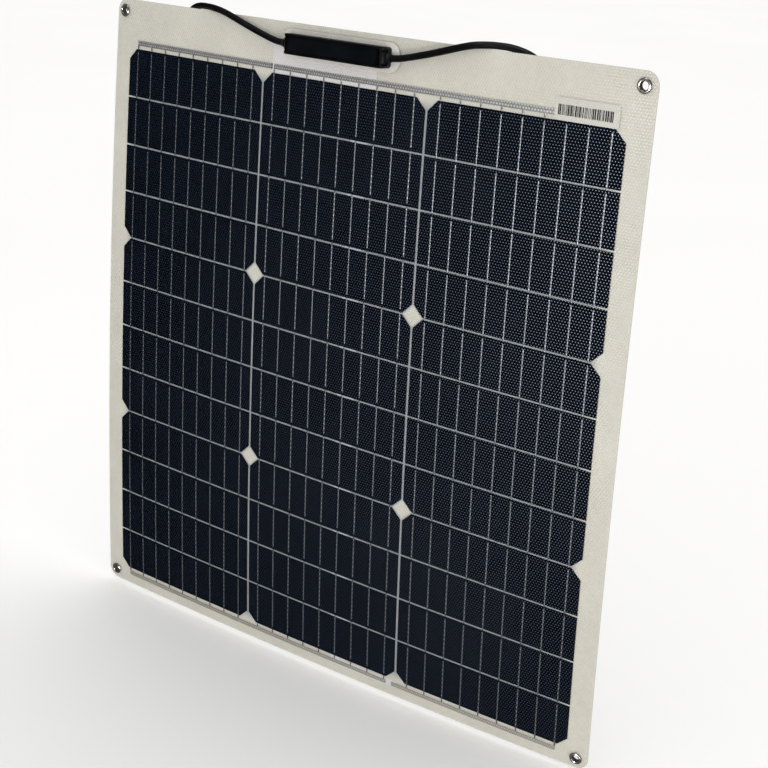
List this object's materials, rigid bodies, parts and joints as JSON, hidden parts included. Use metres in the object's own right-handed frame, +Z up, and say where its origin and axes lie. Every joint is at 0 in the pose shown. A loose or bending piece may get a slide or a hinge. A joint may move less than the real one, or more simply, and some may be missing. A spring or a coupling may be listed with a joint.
{
  "type": "flexible solar panel",
  "caption": "Thin bendable solar sheet with dark quarter-cut cells, white border, corner eyelets and a slim junction box with two leads at its top edge.",
  "frame": {"origin": "centre of the top right eyelet's hole, on the sheet's front surface", "axes": "+X to the right as the viewer faces the cells, +Z up towards the junction box edge, -Y out of the front towards the viewer"},
  "size_m": [0.51, 0.0396, 0.5474],
  "materials": {
    "front_film": "dimpled clear film",
    "encapsulant": "clear",
    "core_board": "glass-fibre laminate",
    "back_film": "satin white",
    "cell_silicon": "anti-reflection blue-black",
    "tinned_copper": "tinned",
    "insulation": "white film",
    "label_paper": "printed paper",
    "nickel_plate": "nickel plated",
    "adhesive_pad": "foam tape",
    "box_plastic": "moulded",
    "lid_plastic": "moulded",
    "seal_rubber": "moulded",
    "copper": "stranded copper",
    "terminal_brass": "stamped",
    "diode_body": "moulded epoxy",
    "lead_jacket": "extruded jacket",
    "connector_plastic": "moulded",
    "contact_metal": "tinned brass"
  },
  "bodies": {
    "upper_section": {"front_film_upper": "front_film", "front_encapsulant_upper": "encapsulant", "back_encapsulant_upper": "encapsulant", "core_board_upper": "core_board", "back_film_upper": "back_film", "cells_upper_left": "cell_silicon", "cells_upper_centre": "cell_silicon", "cells_upper_right": "cell_silicon", "busbars_upper": "tinned_copper", "bus_ribbon_top_left": "tinned_copper", "bus_ribbon_top_bridge": "tinned_copper", "return_ribbon_upper": "tinned_copper", "insulation_upper": "insulation", "lead_out_ribbons": "tinned_copper", "id_label": "label_paper", "eyelets_upper": "nickel_plate", "eyelet_washers_upper": "nickel_plate", "adhesive_pad": "adhesive_pad", "box_base": "box_plastic", "cable_seals": "seal_rubber", "lead_conductors": "copper", "terminal_plates": "terminal_brass", "cable_clamps": "nickel_plate", "bypass_diode": "diode_body", "lead_positive": "lead_jacket", "lead_negative": "lead_jacket", "coil_positive": "lead_jacket", "coil_negative": "lead_jacket", "plug_housing": "connector_plastic", "socket_housing": "connector_plastic", "gland_nuts": "connector_plastic", "plug_pin": "contact_metal", "socket_sleeve": "contact_metal"},
    "middle_section": {"front_film_middle": "front_film", "front_encapsulant_middle": "encapsulant", "back_encapsulant_middle": "encapsulant", "core_board_middle": "core_board", "back_film_middle": "back_film", "cells_middle_left": "cell_silicon", "cells_middle_centre": "cell_silicon", "cells_middle_right": "cell_silicon", "busbars_middle": "tinned_copper", "return_ribbon_middle": "tinned_copper", "insulation_middle": "insulation"},
    "lower_section": {"front_film_lower": "front_film", "front_encapsulant_lower": "encapsulant", "back_encapsulant_lower": "encapsulant", "core_board_lower": "core_board", "back_film_lower": "back_film", "cells_lower_left": "cell_silicon", "cells_lower_centre": "cell_silicon", "cells_lower_right": "cell_silicon", "busbars_lower": "tinned_copper", "bus_ribbon_bottom_bridge": "tinned_copper", "bus_ribbon_bottom_right": "tinned_copper", "return_ribbon_lower": "tinned_copper", "insulation_lower": "insulation", "eyelets_lower": "nickel_plate", "eyelet_washers_lower": "nickel_plate"},
    "lid": {"box_lid": "lid_plastic"}
  },
  "joints": [
    {"name": "flex_upper", "type": "hinge", "parent": "upper_section", "child": "middle_section", "pos_m": [-0.2455, 0.00462, -0.1918], "axis": [0.9999, -0.012, 0], "range_deg": [-15, 15], "stiffness_Nm_per_rad": 20},
    {"name": "flex_lower", "type": "hinge", "parent": "middle_section", "child": "lower_section", "pos_m": [-0.2455, 0.00493, -0.35432], "axis": [0.9999, 0.016, 0], "range_deg": [-15, 15], "stiffness_Nm_per_rad": 20},
    {"name": "lid_lift", "type": "slide", "parent": "upper_section", "child": "lid", "axis": [-0.0446, -0.9981, 0.0419], "range_m": [0, 0.012]}
  ]
}
